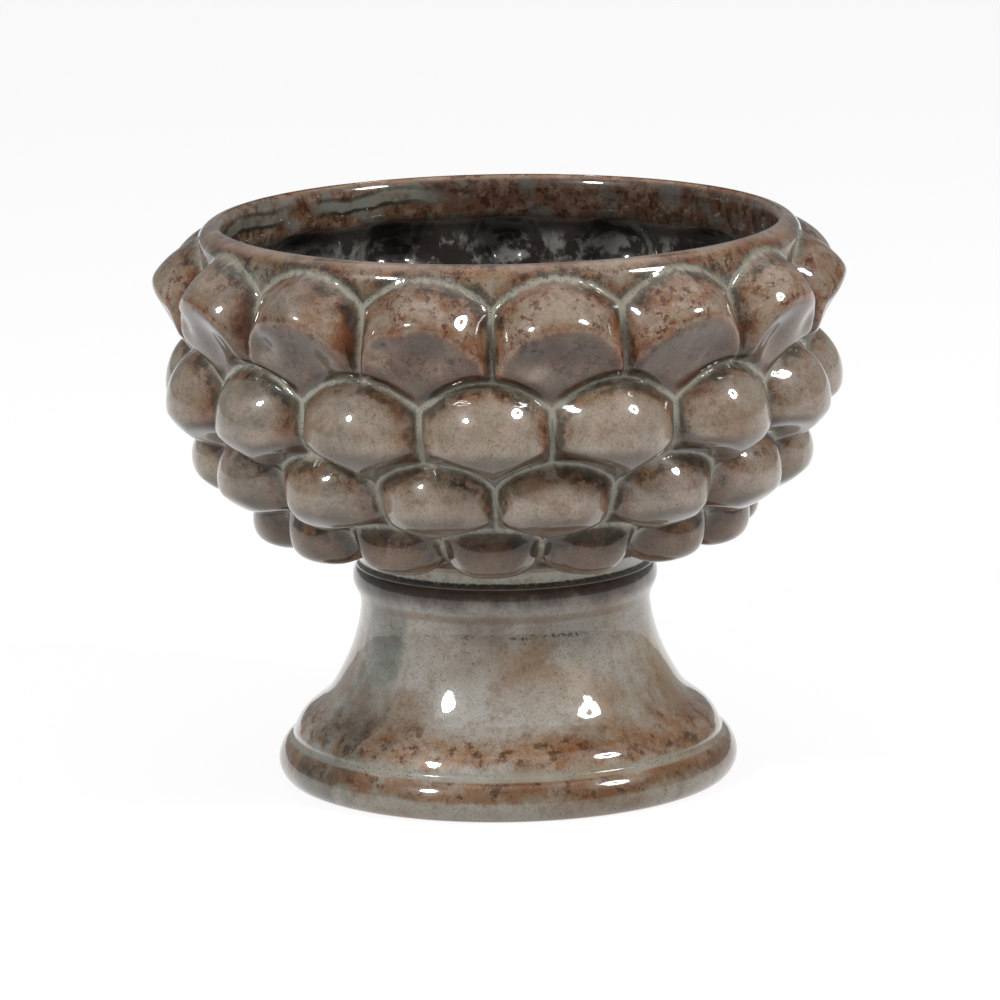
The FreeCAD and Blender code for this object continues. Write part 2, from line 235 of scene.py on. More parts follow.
# The profile of the bowl, from the crest of the lip down the outside, under the seat and spigot, and up
# the inside. Each entry is a place on the scaled wall, or a plain radius and height.
COLLAR_ROWS, UNDER_ROWS, INSIDE_ROWS = 12, 9, 38
CLOSER_TO_ARCH = 1.12
profile = [("collar", 0, step / COLLAR_ROWS) for step in range(COLLAR_ROWS)]
for index, row in enumerate(ROWS):
    profile += [("scale", index, (step / row.turns) ** CLOSER_TO_ARCH) for step in range(row.turns)]
profile += [("under", 0, step / UNDER_ROWS) for step in range(UNDER_ROWS + 1)]
profile += [("plain", radius, height) for radius, height in (
    (0.0534, 0.0842), (0.0534, 0.0828), (0.0532, 0.0822), (0.0526, 0.0819), (0.0456, 0.0819),
    (0.0454, 0.0817), (0.0454, 0.0787), (0.0450, 0.0783), (0.0393, 0.0783), (0.0389, 0.0787),
    (0.0389, 0.0810), (0.0385, 0.0814), (0.0200, 0.0814), (0.0004, 0.0814),
)]
UNDERSIDE_END = len(profile) - 1
profile += [("plain", radius, FLOOR_TOP) for radius in (0.0004, 0.0150, 0.0280)]
profile += [("inside", 0, step / INSIDE_ROWS) for step in range(INSIDE_ROWS + 1)]
profile += [("plain", MOUTH_RADIUS + bulge, height) for bulge, height in (
    (0.0002, 0.1905), (0.0, 0.1940), (0.0, 0.1975), (0.0, 0.2005),
    (0.0001, 0.2022), (0.0005, 0.2037), (0.0011, 0.2049), (0.0019, 0.2057), (0.0026, 0.20605),
)]

# The profile is spun first with its cast places on a stand-in line, and each vertex keeps its number on it.
STAND_IN_RADIUS = 0.1
bowl_mesh = bmesh.new()
place = bowl_mesh.verts.layers.int.new("place")
outline = []
for number, (kind, first, second) in enumerate(profile):
    radius, height = (first, second) if kind == "plain" else (STAND_IN_RADIUS, 0.2 - 0.0001 * number)
    vert = bowl_mesh.verts.new((0, -radius, height))
    vert[place] = number
    outline.append(vert)
edges = []
for number, vert in enumerate(outline):
    if number != UNDERSIDE_END:
        edges.append(bowl_mesh.edges.new((vert, outline[(number + 1) % len(outline)])))
bmesh.ops.spin(
    bowl_mesh, geom=outline + edges, cent=(0, 0, 0), axis=(0, 0, 1), angle=math.tau, steps=COLUMNS,
    use_merge=True,
)

# Each vertex goes to its own place on the cast surface. The glaze follows what it keeps there: how near it
# is to a crease, to the scale's foot and to its brow, how deep in a thumb press, which row it is on, how
# far it faces down, and which side of its scale it is on.
crease = bowl_mesh.verts.layers.float.new("crease")
foot = bowl_mesh.verts.layers.float.new("foot")
brow = bowl_mesh.verts.layers.float.new("brow")
press = bowl_mesh.verts.layers.float.new("press")
under = bowl_mesh.verts.layers.float.new("under")
tier = bowl_mesh.verts.layers.float.new("tier")
inside = bowl_mesh.verts.layers.float.new("inside")
side = bowl_mesh.verts.layers.float.new("side")


# The dents behind the top row's scales: middle along the wall, half length, half width and depth.
DENT_MIDDLE, DENT_LENGTH, DENT_WIDTH, DENT_DEPTH = -0.0135, 0.0165, 0.0185, 0.0125
HALF_SCALE = 0.0215
DENTS_END = -0.001

# How much a place's height adds to its distance from a crease, and how much thinner the pale line is
# under the last row's feet.
LIFT_SHARE = 0.45
FEET_LINE_TRIM = 0.0008


def column_azimuth(column):
    """Azimuth of a mesh column. Columns are spaced so that one lies on every seam of every row."""
    period, step = divmod(column, COLUMNS_BEFORE + COLUMNS_AFTER)
    if step <= COLUMNS_BEFORE:
        turn = SEAM_SHIFT * step / COLUMNS_BEFORE
    else:
        turn = SEAM_SHIFT + (PITCH - SEAM_SHIFT) * (step - COLUMNS_BEFORE) / COLUMNS_AFTER
    return ODD_SEAM + PITCH * period + turn


def cast_place(kind, first, second, azimuth):
    """Where a profile place lies at an azimuth: along the wall, over it, and what the glaze follows."""
    if kind == "collar":
        top = LIP_START - LIP_TURN * LIP_ROUND
        line = arch_line(0, azimuth)
        along = top + (line - top) * second
        return along, 0.0, line - along, FAR, 0.0, 0.0, 0.0
    if kind == "scale":
        top, bottom = arch_line(first, azimuth), arch_line(first + 1, azimuth)
        along = top + (bottom - top) * second
        lift, edge, near_brow, pressed = scale_shape(first, azimuth, along)
        near = math.hypot(min(edge, bottom - along), LIFT_SHARE * lift)
        return along, lift, near, bottom - along, near_brow, pressed, first + 1.0
    if kind == "under":
        top = arch_line(len(ROWS), azimuth)
        along = top + (SEAT_END - top) * second
        return along, 0.0, min(along - top + FEET_LINE_TRIM, FAR), FAR, 0.0, 0.0, 5.0
    along = math.pi / 2 * BELLY_RADIUS * (1 - second) + MOUTH_FOOT * second
    depth = WALL
    if along < DENTS_END:
        _, across = across_scale(ROWS[0], azimuth)
        spread = math.hypot(across * HALF_SCALE / DENT_WIDTH, (along - DENT_MIDDLE) / DENT_LENGTH)
        soft = max(1 - spread, 0)
        depth -= DENT_DEPTH * min(soft * 1.5, 1) ** 1.1 * (1 - 0.25 * (1 - soft))
    return along, -depth, FAR, FAR, 0.0, 0.0, 0.0


# The casting is slightly uneven where it stands proud of the wall: by how much, from what lift on it is
# so in full, and how many waves to a metre. The inside's glaze starts and ends at these heights.
UNEVEN, UNEVEN_FROM, UNEVEN_WAVES = 0.00045, 0.004, 75
INSIDE_FROM, INSIDE_TO = 0.089, 0.2058

repeats = {}
for vert in bowl_mesh.verts:
    kind, first, second = profile[vert[place]]
    column = round(math.atan2(vert.co.x, -vert.co.y) / math.tau * COLUMNS) % COLUMNS
    azimuth = column_azimuth(column)
    if kind == "plain":
        vert[crease] = vert[foot] = FAR
        vert[inside] = 1.0 if INSIDE_FROM < second < INSIDE_TO else 0.0
        vert.co = (first * math.sin(azimuth), -first * math.cos(azimuth), second)
        continue
    # Places on the top row differ from scale to scale, and all others repeat from pitch to pitch.
    own = kind == "scale" and first == 0
    repeat = (vert[place], column if own else column % (COLUMNS_BEFORE + COLUMNS_AFTER))
    if repeat not in repeats:
        repeats[repeat] = cast_place(kind, first, second, azimuth)
    along, lift, vert[crease], vert[foot], vert[brow], vert[press], vert[tier] = repeats[repeat]
    if kind == "scale":
        vert[side] = across_scale(ROWS[first], azimuth)[1]
    radius, height, out, up = wall_at(along)
    spot = Vector((math.sin(azimuth) * radius, -math.cos(azimuth) * radius, height))
    if lift > 0:
        lift += UNEVEN * min(lift / UNEVEN_FROM, 1) * noise.noise(spot * UNEVEN_WAVES)
    radius += lift * out
    height += lift * up
    vert[inside] = 1.0 if kind == "inside" else 0.0
    vert.co = (radius * math.sin(azimuth), -radius * math.cos(azimuth), height)

bmesh.ops.remove_doubles(bowl_mesh, verts=bowl_mesh.verts[:], dist=0.00002)
bmesh.ops.holes_fill(bowl_mesh, edges=[edge for edge in bowl_mesh.edges if edge.is_boundary], sides=0)
bmesh.ops.triangulate(bowl_mesh, faces=[face for face in bowl_mesh.faces if len(face.verts) > 4])
bmesh.ops.recalc_face_normals(bowl_mesh, faces=bowl_mesh.faces[:])
bowl_mesh.normal_update()
for vert in bowl_mesh.verts:
    vert[under] = max(-vert.normal.z, 0)
for face in bowl_mesh.faces:
    face.smooth = True


def place_piece(name, shape):
    """Puts a finished bmesh into the scene as an object."""
    data = bpy.data.meshes.new(name)
    shape.to_mesh(data)
    shape.free()
    piece = bpy.data.objects.new(name, data)
    bpy.context.scene.collection.objects.link(piece)
    return piece


bowl = place_piece("bowl_casting", bowl_mesh)

# The glaze: a grey-beige that breaks to rust brown where it is thin, on brows and edges, shows blue-grey
# and dark specks where it ran, and fills the creases in a thick pale green that is full of pinholes.
GREY_BEIGE = (0.275, 0.226, 0.168)
WARM_TAUPE = (0.205, 0.137, 0.086)
GREEN_GREY = (0.205, 0.190, 0.152)
RUST_WASH = (0.78, 0.49, 0.31)
DARK_WASH = (0.38, 0.26, 0.20)
BLUE_WASH = (0.38, 0.44, 0.44)
CELADON = (0.262, 0.255, 0.202)
PINHOLE = (0.020, 0.026, 0.026)
PALE_BEIGE = (0.335, 0.268, 0.215)
TOP_ROW_WASH = (0.94, 0.87, 0.82)
COOL_WASH = (0.66, 0.72, 0.74)
RED_SPECKS = (0.46, 0.27, 0.19)
BORDER_WASH = (0.80, 0.46, 0.26)
SCALE_WASH = (0.88, 0.89, 0.92)
INKY_WASH = (0.36, 0.36, 0.34)
FOOT_ORANGE = (0.92, 0.56, 0.30)
LOWEST_ROW_SHADE = (0.52, 0.40, 0.30)
PRESS_SHADE = (0.86, 0.82, 0.78)
PRESS_POOL = (0.175, 0.180, 0.150)
MAUVE_AND_SHADE_WASH = (0.74, 0.66, 0.60)
UNDERSIDE_SHADE = (0.40, 0.37, 0.34)
LINE_SHADE = (0.46, 0.43, 0.38)
GRAIN_BROWN = (0.62, 0.50, 0.40)
FINE_GRAIN = (0.50, 0.44, 0.38)
IRON_SPECK = (0.35, 0.33, 0.34)


class Glaze:
    """Builds one glaze's colour and surface out of nodes, one layer over the last."""

    def __init__(self, name, colour):
        self.material = bpy.data.materials.new(name)
        self.material.use_nodes = True
        self.tree = self.material.node_tree
        self.shader = self.tree.nodes["Principled BSDF"]
        self.spot = self.tree.nodes.new("ShaderNodeTexCoord").outputs["Object"]
        split = self.tree.nodes.new("ShaderNodeSeparateXYZ")
        self.tree.links.new(self.spot, split.inputs[0])
        self.x, self.y, self.z = split.outputs
        self.colour = self.solid(colour)

    def solid(self, colour):
        node = self.tree.nodes.new("ShaderNodeRGB")
        node.outputs[0].default_value = (*colour, 1)
        return node.outputs[0]

    def sum(self, kind, first, second=0.0):
        """A Math node's result. Either side may be a socket or a number."""
        node = self.tree.nodes.new("ShaderNodeMath")
        node.operation = kind
        for slot, value in zip(node.inputs, (first, second)):
            if isinstance(value, (int, float)):
                slot.default_value = value
            else:
                self.tree.links.new(value, slot)
        return node.outputs[0]

    def kept(self, name):
        """A value that the mesh keeps at its vertices."""
        node = self.tree.nodes.new("ShaderNodeAttribute")
        node.attribute_name = name
        return node.outputs["Fac"]

    def cloud(self, size, detail=3.0, roughness=0.5, stretch=(1, 1, 1), shift=0.0):
        """Soft noise with patches of about that size in metres, from 0 to 1."""
        mapping = self.tree.nodes.new("ShaderNodeMapping")
        mapping.inputs["Scale"].default_value = stretch
        mapping.inputs["Location"].default_value = (shift, shift, shift)
        self.tree.links.new(self.spot, mapping.inputs[0])
        node = self.tree.nodes.new("ShaderNodeTexNoise")
        node.inputs["Scale"].default_value = 1 / size
        node.inputs["Detail"].default_value = detail
        node.inputs["Roughness"].default_value = roughness
        self.tree.links.new(mapping.outputs[0], node.inputs["Vector"])
        return node.outputs["Fac"]

    def waver(self, cloud, reach):
        """A distance that follows a cloud, up to half of the reach either way."""
        return self.sum("MULTIPLY", self.sum("SUBTRACT", cloud, 0.5), reach)

    def dots(self, size, reach):
        """Round specks, one to a cell of that size in metres: 1 at a speck's middle, 0 past its reach."""
        node = self.tree.nodes.new("ShaderNodeTexVoronoi")
        node.inputs["Scale"].default_value = 1 / size
        self.tree.links.new(self.spot, node.inputs["Vector"])
        return self.fade(node.outputs["Distance"], reach, reach * 0.45)

    def fade(self, value, start, end, low=0.0, high=1.0):
        """Goes smoothly from low to high as the value goes from start to end."""
        node = self.tree.nodes.new("ShaderNodeMapRange")
        node.interpolation_type = "SMOOTHSTEP"
        self.tree.links.new(value, node.inputs["Value"])
        flip = start > end
        for name, number in (
            ("From Min", end if flip else start), ("From Max", start if flip else end),
            ("To Min", high if flip else low), ("To Max", low if flip else high),
        ):
            node.inputs[name].default_value = number
        return node.outputs[0]

    def both(self, *masks):
        """The masks multiplied together."""
        result = masks[0]
        for mask in masks[1:]:
            result = self.sum("MULTIPLY", result, mask)
        return result

    def lay(self, colour, mask, kind="MIX"):
        """Lays a colour over what is there, through a mask."""
        node = self.tree.nodes.new("ShaderNodeMix")
        node.data_type = "RGBA"
        node.blend_type = kind
        self.tree.links.new(mask, node.inputs[0])
        self.tree.links.new(self.colour, node.inputs[6])
        node.inputs[7].default_value = (*colour, 1)
        self.colour = node.outputs[2]

    def mottle(self):
        """The broad grey-beige, taupe and green-grey clouds that every part of the glaze has."""
        self.lay(WARM_TAUPE, self.fade(self.cloud(0.034, 4, 0.6), 0.44, 0.68, 0, 0.85))
        self.lay(GREEN_GREY, self.fade(self.cloud(0.050, 3, 0.5, shift=3.1), 0.52, 0.72, 0, 0.7))

    def stain(self, colour, mask):
        """Darkens what is there with a wash of colour, through a mask."""
        self.lay(colour, mask, "MULTIPLY")

    def grain(self):
        """Fine brown grain and a few dark specks over all, as iron in the clay gives."""
        self.stain(GRAIN_BROWN, self.fade(self.cloud(0.0050, 5, 0.75, shift=7.1), 0.46, 0.68, 0, 0.62))
        self.stain(FINE_GRAIN, self.fade(self.cloud(0.0008, 2, 0.6), 0.46, 0.74, 0, 0.60))
        self.stain(IRON_SPECK, self.both(
            self.dots(0.0021, 0.20), self.fade(self.cloud(0.012, 3, 0.6, shift=8.0), 0.50, 0.62),
        ))

    def finish(self):
        """Joins the colour to the shader, with a glassy coat and a faint unevenness."""
        self.tree.links.new(self.colour, self.shader.inputs["Base Color"])
        self.shader.inputs["Roughness"].default_value = 0.32
        self.shader.inputs["IOR"].default_value = 1.5
        self.shader.inputs["Specular IOR Level"].default_value = 0.18
        self.shader.inputs["Coat Weight"].default_value = 1.0
        self.shader.inputs["Coat Roughness"].default_value = 0.035
        self.shader.inputs["Coat IOR"].default_value = 1.5
        ripple = self.cloud(0.0065, 2, 0.45)
        bump = self.tree.nodes.new("ShaderNodeBump")
        bump.inputs["Strength"].default_value = 0.12
        bump.inputs["Distance"].default_value = 0.0006
        self.tree.links.new(ripple, bump.inputs["Height"])
        for name in ("Normal", "Coat Normal"):
            self.tree.links.new(bump.outputs[0], self.shader.inputs[name])


bowl_glaze = Glaze("bowl_glaze", GREY_BEIGE)
g = bowl_glaze
g.mottle()
near_crease, near_foot = g.kept("crease"), g.kept("foot")
on_tier = g.kept("tier")
edge = g.sum("ADD", near_crease, g.waver(g.cloud(0.005, 3, 0.6, shift=5.0), 0.0022))

# The top row is browner than the rest, and mottled with rust and dark brown.
top_row = g.fade(g.z, 0.158, 0.180)
outer = g.fade(g.kept("inside"), 0.6, 0.4)
radius = g.sum("SQRT", g.sum("ADD", g.sum("MULTIPLY", g.x, g.x), g.sum("MULTIPLY", g.y, g.y)))
g.stain(TOP_ROW_WASH, top_row)
g.lay(PALE_BEIGE, g.both(
    g.fade(g.cloud(0.010, 4, 0.6, shift=30.0), 0.50, 0.62, 0, 0.60), g.fade(near_crease, 0.002, 0.006),
))
g.stain(RUST_WASH, g.both(
    g.fade(g.cloud(0.009, 5, 0.75, shift=1.7), 0.50, 0.58), g.fade(top_row, 0, 1, 0.10, 0.85),
    g.fade(g.x, -0.095, -0.020, 0.45, 1.0), g.fade(on_tier, 0.3, 0.7, 0.30, 1.0),
))
# Grey-blue clouds on the left, where the kiln was cooler.
g.stain(COOL_WASH, g.both(
    g.fade(g.x, -0.020, -0.090), g.fade(g.cloud(0.020, 4, 0.65, shift=23.0), 0.42, 0.62, 0.15, 1.0),
))
# Red-brown specks, in clusters.
g.stain(RED_SPECKS, g.both(
    g.fade(g.cloud(0.0034, 4, 0.72, shift=2.4), 0.53, 0.58),
    g.fade(g.cloud(0.015, 3, 0.5, shift=6.2), 0.46, 0.56),
    g.fade(top_row, 0, 1, 0.20, 1.0),
))
# Orange-brown down the right borders of the scales, where the glaze ran off.
right_border = g.both(g.fade(g.kept("side"), 0.52, 0.86), g.fade(edge, 0.0012, 0.0022))
g.stain(BORDER_WASH, g.both(
    right_border, g.fade(g.cloud(0.012, 4, 0.7, shift=31.0), 0.38, 0.56, 0.10, 0.95),
    g.fade(on_tier, 3.5, 1.0, 0.25, 1.0),
))
g.stain(SCALE_WASH, g.fade(on_tier, 0.3, 0.7))
# Rust and blue-grey runs inside the arch lines, and rust along the brows.
inner_edge = g.both(g.fade(edge, 0.0012, 0.0022), g.fade(edge, 0.0085, 0.0030))
g.stain(RUST_WASH, g.both(inner_edge, g.fade(g.cloud(0.014, 4, 0.6, shift=9.3), 0.38, 0.60, 0.15, 1.0)))
g.stain(BLUE_WASH, g.both(
    g.fade(edge, 0.0010, 0.0020), g.fade(edge, 0.0060, 0.0034),
    g.fade(g.cloud(0.012, 4, 0.65, shift=4.4), 0.50, 0.60),
))
g.stain(DARK_WASH, g.both(inner_edge, g.fade(g.cloud(0.006, 5, 0.72, shift=4.9), 0.52, 0.62, 0, 0.9)))
g.stain(INKY_WASH, g.both(
    g.fade(edge, 0.0014, 0.0024), g.fade(edge, 0.0062, 0.0040), g.fade(g.kept("side"), 0.0, 0.35),
    g.fade(near_foot, 0.016, 0.022), g.fade(g.cloud(0.0060, 4, 0.72, shift=36.0), 0.45, 0.56),
))
g.stain(RUST_WASH, g.both(g.kept("brow"), g.fade(g.cloud(0.008, 4, 0.65, shift=7.7), 0.38, 0.58, 0.15, 1.0)))
# Orange fringes at the feet.
g.stain(FOOT_ORANGE, g.both(
    g.fade(near_foot, 0.0060, 0.0022), g.fade(g.cloud(0.013, 3, 0.5, shift=11.0), 0.38, 0.58, 0.2, 1.0),
))
# Painted shade on the upper halves of the lowest row.
lowest_row_top = g.both(g.fade(on_tier, 3.4, 3.6), g.fade(on_tier, 4.6, 4.4), g.fade(near_foot, 0.0070, 0.0130))
g.stain(LOWEST_ROW_SHADE, lowest_row_top)
# Painted shade in the thumb presses, with a little grey-green glaze pooled in the deepest.
g.stain(PRESS_SHADE, g.both(
    g.fade(g.kept("press"), 0.20, 0.55), g.fade(g.cloud(0.006, 4, 0.65, shift=22.0), 0.36, 0.58, 0.25, 1.0),
))
g.lay(PRESS_POOL, g.both(
    g.fade(g.kept("press"), 0.72, 0.95), g.fade(g.cloud(0.0035, 3, 0.65, shift=32.0), 0.46, 0.60, 0.0, 0.85),
))
# The top row's flat faces, where they face down, are a mauve brown: partly their glaze colour, partly
# painted shade.
face = g.both(g.fade(on_tier, 0.4, 0.6), g.fade(on_tier, 1.6, 1.4), g.fade(g.kept("under"), 0.10, 0.35))
g.stain(MAUVE_AND_SHADE_WASH, g.both(face, g.fade(g.cloud(0.012, 4, 0.6, shift=33.0), 0.30, 0.62, 0.60, 1.0)))
# Painted shade on all that faces down.
g.stain(UNDERSIDE_SHADE, g.both(
    g.fade(g.kept("under"), 0.08, 0.70), outer, g.fade(on_tier, 3.6, 3.4, 0.35, 1.0),
))
g.grain()
# The pale line in every crease, with a thin dark line beside it and its pinholes.
g.stain(LINE_SHADE, g.both(
    g.fade(edge, 0.0008, 0.0014), g.fade(edge, 0.0034, 0.0018), outer,
    g.fade(g.cloud(0.013, 3, 0.6, shift=24.0), 0.42, 0.54, 0.10, 1.0),
))
g.lay(CELADON, g.both(g.fade(edge, 0.0040, 0.0012), outer, 0.20))
pale = g.both(g.fade(edge, 0.0016, 0.0002), outer)
g.lay(CELADON, g.both(pale, g.fade(g.cloud(0.012, 3, 0.6, shift=12.0), 0.30, 0.55, 0.62, 0.97)))
g.lay(PINHOLE, g.both(
    g.fade(edge, 0.0025, 0.0018), outer, g.dots(0.00085, 0.34),
    g.fade(g.cloud(0.010, 3, 0.6, shift=13.0), 0.44, 0.54),
))

# The lip: a grey-beige collar with inky specks, a rust band along its top, and pale tan patches on its crest
# that are partly painted highlight.
COLLAR_WASH = (0.80, 0.86, 0.90)
LIP_RUST = (0.88, 0.58, 0.38)
INKY_SPECKS = (0.44, 0.48, 0.52)
CREST_TAN_AND_HIGHLIGHT = (0.290, 0.215, 0.165)
collar = g.both(g.fade(g.z, 0.190, 0.193), g.fade(on_tier, 0.7, 0.3), outer)
lip = g.both(g.fade(g.z, 0.1975, 0.2015), g.fade(radius, 0.1012, 0.1022), g.fade(edge, 0.0015, 0.0030))
g.stain(COLLAR_WASH, collar)
rust_band = g.both(lip, g.fade(g.z, 0.2008, 0.2036))
g.stain(LIP_RUST, g.both(
    rust_band, g.fade(g.cloud(0.016, 4, 0.6, shift=14.0), 0.36, 0.56, 0.25, 1.0),
))
g.stain(DARK_WASH, g.both(lip, g.fade(g.cloud(0.0040, 4, 0.72, shift=15.0), 0.54, 0.62, 0, 0.85)))
g.stain(INKY_SPECKS, g.both(
    collar, g.fade(g.cloud(0.0030, 4, 0.7, shift=34.0), 0.50, 0.60),
    g.fade(g.cloud(0.014, 3, 0.5, shift=35.0), 0.48, 0.58),
))
# Pale tan patches on the crest: glaze colour mixed with a painted highlight along the lip's top.
lit_crest = g.both(g.fade(g.z, 0.2030, 0.2056), outer)
g.lay(CREST_TAN_AND_HIGHLIGHT, g.both(lit_crest, g.fade(g.cloud(0.02, 3, 0.6, shift=25.0), 0.40, 0.60, 0.05, 0.60)))

# The band inside the mouth: rust brown with tan and grey-green patches, darker towards the right.
BAND_BROWN = (0.135, 0.072, 0.042)
BAND_TAN = (0.235, 0.165, 0.110)
BAND_GREEN = (0.150, 0.158, 0.140)
BAND_SHADE = (0.52, 0.50, 0.50)
inner = g.both(g.fade(radius, 0.1022, 0.1008), g.fade(g.z, 0.186, 0.190), g.fade(g.z, 0.2062, 0.2045))
g.lay(BAND_BROWN, inner)
g.lay(BAND_TAN, g.both(inner, g.fade(g.cloud(0.0080, 3, 0.6, shift=16.0), 0.48, 0.60, 0, 0.85)))
g.stain(DARK_WASH, g.both(inner, g.fade(g.cloud(0.0038, 4, 0.7, shift=17.0), 0.48, 0.58, 0, 0.90)))
g.lay(BAND_GREEN, g.both(inner, g.fade(g.cloud(0.0110, 4, 0.6, shift=37.0), 0.52, 0.62, 0, 0.65)))
g.stain(BAND_SHADE, g.both(inner, g.fade(g.x, -0.070, -0.010)))

# A grey-green streak wanders round the left of the band, dark along its edges, the lower one most.
STREAK_GREEN = (0.165, 0.168, 0.138)
STREAK_UNDER = (0.16, 0.20, 0.20)
STREAK_OVER = (0.45, 0.48, 0.46)
STREAK_HEIGHT = 0.1985
wave = g.waver(g.cloud(0.04, 5, 0.62, shift=26.0), 0.012)
streak_level = g.sum("SUBTRACT", g.sum("ADD", g.z, wave), STREAK_HEIGHT)
streak_reach = g.sum("ABSOLUTE", streak_level)
streak = g.both(inner, g.fade(g.x, -0.010, -0.045), g.fade(g.cloud(0.05, 2, 0.5, shift=27.0), 0.36, 0.48))
streak_body = g.fade(g.cloud(0.0045, 3, 0.6, shift=28.0), 0.34, 0.60, 0.45, 0.95)
g.lay(STREAK_GREEN, g.both(streak, g.fade(streak_reach, 0.0034, 0.0016), streak_body))
g.stain(STREAK_UNDER, g.both(
    streak, g.fade(streak_level, -0.0013, -0.0021), g.fade(streak_level, -0.0036, -0.0026),
))
g.stain(STREAK_OVER, g.both(
    streak, g.fade(streak_level, 0.0014, 0.0024), g.fade(streak_level, 0.0040, 0.0030),
))

# Painted shade, nearly black, below that band, with grey patches from the dents on down that are partly
# glaze mottle and partly painted light on the dents.
DEEP_SHADE = (0.026, 0.022, 0.020)
DEEP_GREY_AND_LIGHT = (0.270, 0.265, 0.235)
deep_shade = g.both(g.fade(g.kept("inside"), 0.4, 0.6), g.fade(g.z, 0.192, 0.187))
g.lay(DEEP_SHADE, deep_shade)
g.lay(DEEP_GREY_AND_LIGHT, g.both(
    deep_shade, g.fade(g.z, 0.186, 0.180), g.fade(g.cloud(0.011, 4, 0.65, shift=18.0), 0.46, 0.60, 0, 0.75),
))
g.finish()
bowl.data.materials.append(bowl_glaze.material)

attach(bowl, "root")
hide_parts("bowl")

# ---------------------------------------------------------------------------------------------------
# The stand: the second casting, turned smooth, hollow and open below. Its foot ring was wiped bare of
# glaze, and glaze pooled in the groove over the base moulding.
# ---------------------------------------------------------------------------------------------------

STAND_OUTSIDE = [
    (0.0790, 0.0000), (0.0812, 0.0002), (0.0824, 0.0010), (0.0834, 0.0023), (0.0842, 0.0040),
    (0.0846, 0.0060), (0.0845, 0.0080), (0.0839, 0.0100), (0.0829, 0.0120), (0.0817, 0.0136),
    (0.0806, 0.0146), (0.0797, 0.0152), (0.0790, 0.0157), (0.0787, 0.0164), (0.0786, 0.0172),
    (0.0782, 0.0182), (0.0776, 0.0194), (0.0769, 0.0207), (0.0760, 0.0220), (0.0748, 0.0234),
    (0.0733, 0.0248), (0.0715, 0.0262), (0.0697, 0.0276), (0.0680, 0.0290), (0.0666, 0.0303),
    (0.0655, 0.0316), (0.0644, 0.0331), (0.0634, 0.0347), (0.0623, 0.0366), (0.0611, 0.0388),
    (0.0599, 0.0411), (0.0586, 0.0438), (0.0574, 0.0466), (0.0563, 0.0495), (0.0554, 0.0524),
    (0.0546, 0.0553), (0.0540, 0.0580), (0.0536, 0.0605), (0.0533, 0.0628), (0.0532, 0.0645),
    (0.0533, 0.0660), (0.0536, 0.0674), (0.0541, 0.0687), (0.0547, 0.0700), (0.0553, 0.0713),
    (0.0558, 0.0727), (0.0560, 0.0742), (0.0559, 0.0757), (0.0556, 0.0771), (0.0551, 0.0784),
    (0.0544, 0.0795), (0.0535, 0.0804), (0.0524, 0.0810), (0.0512, 0.0811),
]
STAND_INSIDE = [
    (0.0462, 0.0811), (0.0460, 0.0809), (0.0460, 0.0740), (0.0460, 0.0670), (0.0461, 0.0605),
    (0.0471, 0.0560), (0.0484, 0.0510), (0.0502, 0.0455), (0.0524, 0.0395), (0.0552, 0.0335),
    (0.0588, 0.0275), (0.0636, 0.0210), (0.0690, 0.0150), (0.0732, 0.0105), (0.0742, 0.0085),
    (0.0742, 0.0012), (0.0746, 0.0003), (0.0756, 0.0000),
]
RING_STEPS = 240


def turned_ring(points, showing_edges):
    """A closed outline of radii and heights, spun full circle. Its showing edges are curved first."""
    ring = bmesh.new()
    outline = [ring.verts.new((0, -radius, height)) for radius, height in points]
    edges = [
        ring.edges.new((vert, outline[(number + 1) % len(outline)])) for number, vert in enumerate(outline)
    ]
    bmesh.ops.subdivide_edges(ring, edges=edges[:showing_edges], cuts=1, smooth=1.0)
    bmesh.ops.spin(
        ring, geom=ring.verts[:] + ring.edges[:], cent=(0, 0, 0), axis=(0, 0, 1), angle=math.tau,
        steps=RING_STEPS, use_merge=True,
    )
    bmesh.ops.recalc_face_normals(ring, faces=ring.faces[:])
    for face in ring.faces:
        face.smooth = True
    return ring


stand = place_piece("stand_casting", turned_ring(STAND_OUTSIDE + STAND_INSIDE, len(STAND_OUTSIDE) - 1))

STAND_BEIGE = (0.325, 0.312, 0.280)
MOULDING_WASH = (0.68, 0.64, 0.58)
JOINT_SHADE = (0.17, 0.11, 0.08)
ROLL_TOP_SHADE = (0.62, 0.48, 0.38)
ROLL_LINE = (0.74, 0.62, 0.50)
FLARE_WASH = (0.86, 0.84, 0.82)
RIGHT_WASH = (0.84, 0.68, 0.50)
PIT_WASH = (0.30, 0.32, 0.32)
BODY_BROWN = (0.150, 0.060, 0.030)

stand_glaze = Glaze("stand_glaze", STAND_BEIGE)
g = stand_glaze
g.mottle()
level = g.sum("ADD", g.z, g.waver(g.cloud(0.012, 4, 0.6, shift=2.0), 0.016))
# A blue-grey run, down the side that faces 34 degrees forward of straight left.
RUN_LEFT, RUN_FRONT = 0.829, 0.559
drift = g.waver(g.cloud(0.020, 3, 0.6, stretch=(1, 1, 0.4), shift=5.0), 0.05)
run_side = g.sum("ADD", g.sum("MULTIPLY", g.x, -RUN_LEFT), g.sum("MULTIPLY", g.y, -RUN_FRONT))
run_middle = g.sum("ADD", g.sum("MULTIPLY", g.x, RUN_FRONT), g.sum("MULTIPLY", g.y, -RUN_LEFT))
run_across = g.sum("ABSOLUTE", g.sum("ADD", run_middle, drift))
run = g.both(g.fade(run_side, 0.02, 0.03), g.fade(run_across, 0.020, 0.008))
g.stain(BLUE_WASH, g.both(run, g.fade(g.cloud(0.02, 4, 0.6, shift=7.0), 0.3, 0.6, 0.30, 0.85)))
